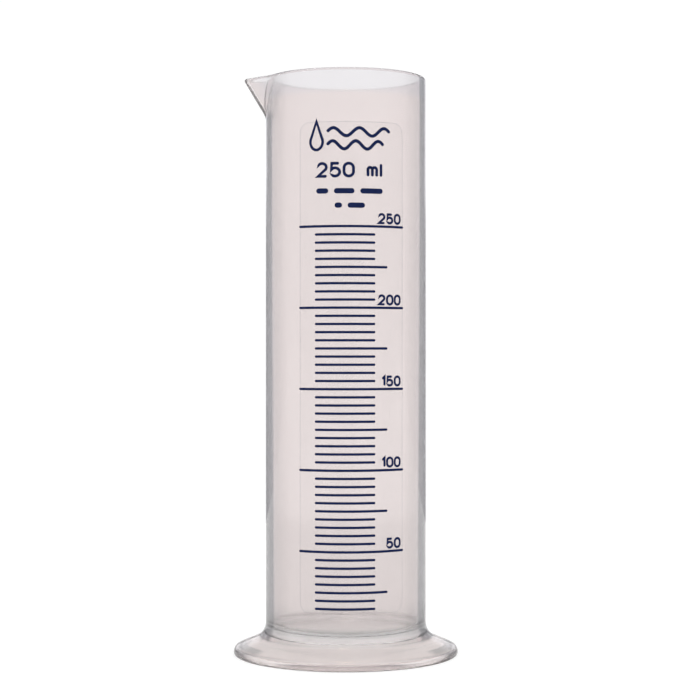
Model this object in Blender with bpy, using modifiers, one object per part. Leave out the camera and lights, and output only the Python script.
"""A 250 ml measuring cylinder in translucent polypropylene.

A straight tube with a closed floor and a pinched pour spout stands on a flared, hollow foot. A clear
film on the front of the tube carries a printed scale from 15 ml to 250 ml in steps of 5 ml.

Frame: metres, +Z up. The origin is the centre of the foot on the surface that it stands on. The
scale faces -Y and the spout points to -X.
"""

import math

import bmesh
import bpy
from mathutils import Vector

MM = 0.001

# Driving dimensions, in millimetres.
HEIGHT = 192.0
TUBE_RADIUS = 26.7
WALL_AT_FLOOR = 2.4
WALL_AT_RIM = 1.8
FLOOR_TOP = 8.4
FLOOR_THICKNESS = 2.0
FLOOR_CORNER = 3.5

FOOT_RADIUS = 37.4
FOOT_SLOPE = 23.0
FOOT_WALL = 2.0
FOOT_EDGE_RADIUS = 2.0
FOOT_EDGE_HEIGHT = 1.0
FOOT_CONTACT_CHAMFER = 0.4
NECK_FILLET = 6.0
SEAM_GAP = 0.3

SPOUT_REACH = 34.4
SPOUT_HALF_WIDTH = 12.1
SPOUT_DROP = 13.8
SPOUT_WALL_SHIFT = 1.5
SPOUT_TIP_RADIUS = 1.6
SPOUT_ROOT = 0.5

ML_PER_LINE = 5
FIRST_LINE_ML = 15
CAPACITY_ML = 250
MAJOR_STEP_ML = 50
MID_STEP_ML = 25

SCALE_ZERO = 10.5
FIFTY_ML = 26.1
LINE_HEIGHT = 0.8
INK_THICKNESS = 0.1
FILM_THICKNESS = 0.1
PRINT_GAP = 0.15

# Angles of the printed marks about the tube, in degrees from the front (-Y) towards +X.
MAJOR_SPAN = (-34.0, 44.0)
MID_SPAN = (-21.7, 30.2)
MINOR_SPAN = (-21.7, 20.9)
FILM_SPAN = (-33.6, 43.5)
FILM_BOTTOM = 16.7
FILM_TOP = 174.6
FILM_CORNER = 3.5

ROUND_STEPS = 72
STEP_DEGREES = 6.0
FRONT = -90.0

AXIS_MERGE = 0.00002

# Derived dimensions, in millimetres.
FLOOR_BORE_RADIUS = TUBE_RADIUS - WALL_AT_FLOOR
RIM_BORE_RADIUS = TUBE_RADIUS - WALL_AT_RIM
FLOOR_BOTTOM = FLOOR_TOP - FLOOR_THICKNESS
FOOT_TOP = FLOOR_BOTTOM - SEAM_GAP
ML_HEIGHT = FIFTY_ML / 50.0
FILM_RADIUS = TUBE_RADIUS + PRINT_GAP
INK_RADIUS = FILM_RADIUS + FILM_THICKNESS + PRINT_GAP


def clear_scene():
    for obj in list(bpy.data.objects):
        bpy.data.objects.remove(obj, do_unlink=True)


def make_collection(name):
    collection = bpy.data.collections.new(name)
    bpy.context.scene.collection.children.link(collection)
    return collection


def make_material(name, colour, roughness, alpha=1.0):
    material = bpy.data.materials.new(name)
    material.use_nodes = True
    shader = material.node_tree.nodes["Principled BSDF"]
    shader.inputs["Base Color"].default_value = (*colour, 1.0)
    shader.inputs["Roughness"].default_value = roughness
    shader.inputs["Metallic"].default_value = 0.0
    shader.inputs["Alpha"].default_value = alpha
    material.diffuse_color = (*colour, alpha)
    return material


def place(name, mesh, collection, material=None):
    obj = bpy.data.objects.new(name, mesh)
    collection.objects.link(obj)
    if material:
        obj.data.materials.append(material)
    return obj


def hide_cutter(obj):
    obj.hide_render = True
    obj.display_type = "WIRE"
    return obj


def arc(centre, radius, start, end, count):
    """Points (r, z) on an arc, with its angles in degrees from +r towards +z."""
    points = []
    for i in range(count + 1):
        angle = math.radians(start + (end - start) * i / count)
        points.append((centre[0] + radius * math.cos(angle), centre[1] + radius * math.sin(angle)))
    return points


def profile_mesh(name, points, closed):
    """An edge chain in the XZ plane from points (r, z) in millimetres."""
    mesh = bpy.data.meshes.new(name)
    edges = [(i, i + 1) for i in range(len(points) - 1)]
    if closed:
        edges.append((len(points) - 1, 0))
    mesh.from_pydata([(r * MM, 0.0, z * MM) for r, z in points], edges, [])
    return mesh


def screw(obj, degrees, steps):
    modifier = obj.modifiers.new("Turn", "SCREW")
    modifier.axis = "Z"
    modifier.angle = math.radians(degrees)
    modifier.steps = steps
    modifier.render_steps = steps
    modifier.use_merge_vertices = True
    modifier.merge_threshold = AXIS_MERGE
    modifier.use_smooth_shade = True
    return modifier


def boolean(obj, cutter, operation):
    modifier = obj.modifiers.new(cutter.name, "BOOLEAN")
    modifier.operation = operation
    modifier.object = cutter
    modifier.solver = "EXACT"
    return modifier


def slope_height(r):
    """Height of the foot's straight slope, or of its line carried on, at this radius."""
    slope = math.radians(FOOT_SLOPE)
    edge_r = FOOT_RADIUS - FOOT_EDGE_RADIUS + FOOT_EDGE_RADIUS * math.sin(slope)
    edge_z = FOOT_EDGE_HEIGHT + FOOT_EDGE_RADIUS * math.cos(slope)
    return edge_z + (edge_r - r) * math.tan(slope)


def neck_centre_z():
    """Height of the neck fillet's centre, so that it runs smoothly into the foot's slope."""
    slope = math.radians(FOOT_SLOPE)
    neck_r = TUBE_RADIUS + NECK_FILLET - NECK_FILLET * math.sin(slope)
    return slope_height(neck_r) + NECK_FILLET * math.cos(slope)


def neck_angle_at(z, offset=0.0):
    """Angle in degrees where the neck fillet, or the curve offset inside it, is at this height."""
    return 180.0 + math.degrees(math.asin((neck_centre_z() - z) / (NECK_FILLET + offset)))


def neck_arc(start, end, count, offset=0.0):
    """Part of the neck fillet, or of the curve that lies offset inside it."""
    centre = (TUBE_RADIUS + NECK_FILLET, neck_centre_z())
    return arc(centre, NECK_FILLET + offset, start, end, count)


def barrel_profile():
    """Half section of the tube: floor, tapered bore, full-round rim, outer wall, flared root, underside."""
    corner = (FLOOR_BORE_RADIUS - FLOOR_CORNER, FLOOR_TOP + FLOOR_CORNER)
    rim = (TUBE_RADIUS - WALL_AT_RIM / 2, HEIGHT - WALL_AT_RIM / 2)
    points = [(0.0, FLOOR_TOP)]
    points += arc(corner, FLOOR_CORNER, -90.0, 0.0, 6)
    points += arc(rim, WALL_AT_RIM / 2, 180.0, 0.0, 8)
    points += neck_arc(180.0, neck_angle_at(FLOOR_BOTTOM), 3)
    points += [(0.0, FLOOR_BOTTOM)]
    return points


def foot_profile():
    """Closed section of the foot: seat, neck, slope, rounded edge, contact ring, hollow underside."""
    slope = math.radians(FOOT_SLOPE)
    slope_end = 270.0 - FOOT_SLOPE
    edge_centre = (FOOT_RADIUS - FOOT_EDGE_RADIUS, FOOT_EDGE_HEIGHT)
    ring_radius = FOOT_RADIUS - FOOT_WALL - FOOT_CONTACT_CHAMFER
    points = neck_arc(neck_angle_at(FOOT_TOP), slope_end, 5)
    points += arc(edge_centre, FOOT_EDGE_RADIUS, 90.0 - FOOT_SLOPE, 0.0, 5)
    points += [(FOOT_RADIUS, FOOT_CONTACT_CHAMFER), (FOOT_RADIUS - FOOT_CONTACT_CHAMFER, 0.0)]
    points += [(ring_radius, 0.0), (ring_radius, slope_height(ring_radius) - FOOT_WALL / math.cos(slope))]
    points += neck_arc(slope_end, neck_angle_at(FOOT_TOP, FOOT_WALL), 5, FOOT_WALL)
    return points


def spout_points(shift, top):
    """The corners of the spout's wedge: its root low on the wall, and its V outline at the height top.

    shift moves the wedge towards the tube's axis, which gives the inside of the spout.
    """
    root = Vector((SPOUT_ROOT - TUBE_RADIUS, 0.0, HEIGHT - SPOUT_DROP))
    half_angle = math.atan2(SPOUT_HALF_WIDTH, SPOUT_REACH - tangent_x())
    tip_centre = -(SPOUT_REACH - SPOUT_TIP_RADIUS)
    outline = [(-tangent_x(), SPOUT_HALF_WIDTH), (-tangent_x(), -SPOUT_HALF_WIDTH)]
    for i in range(7):
        angle = math.pi + (math.pi / 2 - half_angle) * (i / 3 - 1)
        outline.append(
            (tip_centre + SPOUT_TIP_RADIUS * math.cos(angle), SPOUT_TIP_RADIUS * math.sin(angle))
        )
    stretch = (top - root.z) / SPOUT_DROP
    points = [root]
    for x, y in outline:
        points.append(root + (Vector((x, y, HEIGHT)) - root) * stretch)
    return [(point + Vector((shift, 0.0, 0.0))) * MM for point in points]


def tangent_x():
    """How far from the axis, along X, the spout's flanks leave the tube."""
    return math.sqrt((TUBE_RADIUS - SPOUT_ROOT) ** 2 - SPOUT_HALF_WIDTH**2)


def hull_object(name, points, collection):
    mesh = bpy.data.meshes.new(name)
    shell = bmesh.new()
    for point in points:
        shell.verts.new(point)
    hull = bmesh.ops.convex_hull(shell, input=shell.verts)
    unused = hull["geom_interior"] + hull["geom_unused"]
    loose = [item for item in unused if isinstance(item, bmesh.types.BMVert)]
    bmesh.ops.delete(shell, geom=loose, context="VERTS")
    bmesh.ops.recalc_face_normals(shell, faces=shell.faces)
    shell.to_mesh(mesh)
    shell.free()
    return hide_cutter(place(name, mesh, collection))


def spout_body(collection):
    return hull_object("spout_body", spout_points(0.0, HEIGHT), collection)


def spout_channel(collection):
    """The inside of the spout, run out through the top and back into the bore."""
    above = HEIGHT + 3.0
    inside = -RIM_BORE_RADIUS * 0.7
    points = spout_points(SPOUT_WALL_SHIFT, above)
    points += [Vector((inside, side * SPOUT_HALF_WIDTH * 0.7, above)) * MM for side in (-1.0, 1.0)]
    points += [Vector((inside, 0.0, HEIGHT - SPOUT_DROP)) * MM]
    return hull_object("spout_channel", points, collection)


def make_barrel(parts, cutters, material):
    barrel = place("barrel", profile_mesh("barrel", barrel_profile(), False), parts, material)
    screw(barrel, 360.0, ROUND_STEPS)
    boolean(barrel, spout_body(cutters), "UNION")
    boolean(barrel, spout_channel(cutters), "DIFFERENCE")
    return barrel


def make_foot(parts, material):
    foot = place("foot", profile_mesh("foot", foot_profile(), True), parts, material)
    screw(foot, 360.0, ROUND_STEPS)
    return foot


def upright_edge(name, radius, height, material):
    """An upright edge at this radius, which the strip's Screw modifier turns about the tube."""
    mesh = profile_mesh(name, [(radius, height / 2), (radius, -height / 2)], False)
    mesh.materials.append(material)
    return mesh


def turn_strip(obj, span, thickness):
    """Turns an upright edge through the span, from its start, and gives the strip its thickness."""
    degrees = span[1] - span[0]
    screw(obj, degrees, math.ceil(degrees / STEP_DEGREES) + 1)
    solid = obj.modifiers.new("Thickness", "SOLIDIFY")
    solid.thickness = thickness * MM
    solid.offset = 1.0
    obj.rotation_euler = (0.0, 0.0, math.radians(FRONT + span[0]))


def film_outline(collection):
    """A block with rounded corners, as wide and high as the film seen from the front."""
    left, right = (FILM_RADIUS * math.sin(math.radians(angle)) for angle in FILM_SPAN)
    size = Vector((right - left, TUBE_RADIUS, FILM_TOP - FILM_BOTTOM))
    centre = Vector(((left + right) / 2, -TUBE_RADIUS, (FILM_TOP + FILM_BOTTOM) / 2))
    mesh = bpy.data.meshes.new("film_outline")
    block = bmesh.new()
    bmesh.ops.create_cube(block, size=1.0)
    bmesh.ops.scale(block, vec=size * MM, verts=block.verts)
    bmesh.ops.translate(block, vec=centre * MM, verts=block.verts)
    corners = [e for e in block.edges if abs((e.verts[0].co - e.verts[1].co).normalized().y) > 0.9]
    bmesh.ops.bevel(block, geom=corners, offset=FILM_CORNER * MM, segments=5, profile=0.5, affect="EDGES")
    block.to_mesh(mesh)
    block.free()
    return hide_cutter(place("film_outline", mesh, collection))


def make_film(parts, cutters, material):
    margin = 4.0
    span = (FILM_SPAN[0] - margin, FILM_SPAN[1] + margin)
    height = FILM_TOP - FILM_BOTTOM + margin
    mesh = upright_edge("scale_film", FILM_RADIUS, height, material)
    film = place("scale_film", mesh, parts)
    film.location = (0.0, 0.0, (FILM_TOP + FILM_BOTTOM) / 2 * MM)
    turn_strip(film, span, FILM_THICKNESS)
    boolean(film, film_outline(cutters), "INTERSECT")
    return film


def line_span(volume):
    if volume % MAJOR_STEP_ML == 0:
        return MAJOR_SPAN
    if volume % MID_STEP_ML == 0:
        return MID_SPAN
    return MINOR_SPAN


def make_scale(parts, material):
    """One printed line for each 5 ml, at the height of that volume above the floor."""
    meshes = {}
    for volume in range(FIRST_LINE_ML, CAPACITY_ML + 1, ML_PER_LINE):
        span = line_span(volume)
        if span not in meshes:
            meshes[span] = upright_edge("scale_line", INK_RADIUS, LINE_HEIGHT, material)
        line = place(f"scale_line_{volume:03d}ml", meshes[span], parts)
        line.location = (0.0, 0.0, (SCALE_ZERO + volume * ML_HEIGHT) * MM)
        turn_strip(line, span, INK_THICKNESS)


def main():
    clear_scene()
    parts = make_collection("measuring_cylinder")
    cutters = make_collection("cutters")
    plastic = make_material("translucent_polypropylene", (0.86, 0.82, 0.82), 0.28, 0.45)
    film = make_material("clear_transfer_film", (0.9, 0.88, 0.88), 0.2, 0.12)
    ink = make_material("navy_ink", (0.012, 0.024, 0.115), 0.5)
    make_barrel(parts, cutters, plastic)
    make_foot(parts, plastic)
    make_film(parts, cutters, film)
    make_scale(parts, ink)


main()
